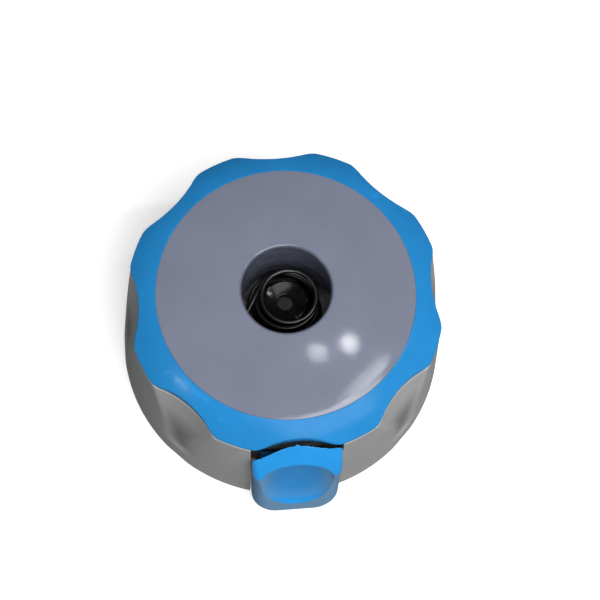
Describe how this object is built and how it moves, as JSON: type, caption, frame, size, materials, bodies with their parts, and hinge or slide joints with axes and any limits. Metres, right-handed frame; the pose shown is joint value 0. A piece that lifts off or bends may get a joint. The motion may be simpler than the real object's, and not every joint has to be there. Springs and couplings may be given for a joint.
{
  "type": "stitch length dial",
  "caption": "Scalloped round adjusting dial with a domed face, a central hole with a coil spring, and a push-in lock tab on its side.",
  "frame": {"origin": "centre of the footprint's bounding box on the flat underside; the dial axis stands 1.45 mm from it towards +Y", "axes": "+Z along the dial axis out of the machine, -Y towards the lock tab"},
  "size_m": [0.052, 0.0549, 0.0272],
  "materials": {
    "grey_plastic": "fine moulded texture",
    "cap_plastic": "fine sparkle texture",
    "blue_plastic": "satin",
    "steel": "ground",
    "zinc_steel": "zinc plated",
    "black_steel": "black oxide",
    "spring_steel": "oiled wire"
  },
  "bodies": {
    "base": {"index_plate": "steel", "plate_screw_1": "zinc_steel", "plate_screw_2": "zinc_steel", "plate_screw_3": "zinc_steel", "zero_stop_pin": "zinc_steel"},
    "dial": {"dial_body": "grey_plastic", "bezel_ring": "blue_plastic", "face_cap": "cap_plastic", "hub_sleeve": "black_steel", "spring_washer": "black_steel", "centre_spring": "spring_steel", "circlip": "black_steel", "keeper_plate": "steel", "keeper_screw_1": "zinc_steel", "keeper_screw_2": "zinc_steel", "keeper_screw_3": "zinc_steel", "keeper_screw_4": "zinc_steel", "return_spring_1": "spring_steel", "return_spring_2": "spring_steel"},
    "lock": {"lock_tab": "blue_plastic", "lock_slide": "steel", "tab_rivet_1": "zinc_steel", "tab_rivet_2": "zinc_steel"}
  },
  "joints": [
    {"name": "dial_turn", "type": "hinge", "parent": "base", "child": "dial", "pos_m": [0, 0.00145, 0], "axis": [0, 0, 1], "range_deg": [0, 330]},
    {"name": "lock_press", "type": "slide", "parent": "dial", "child": "lock", "axis": [0, 1, 0], "range_m": [0, 0.0018], "stiffness_N_per_m": 600, "springref_m": -0.004, "deforming": ["return_spring_1", "return_spring_2"]}
  ]
}
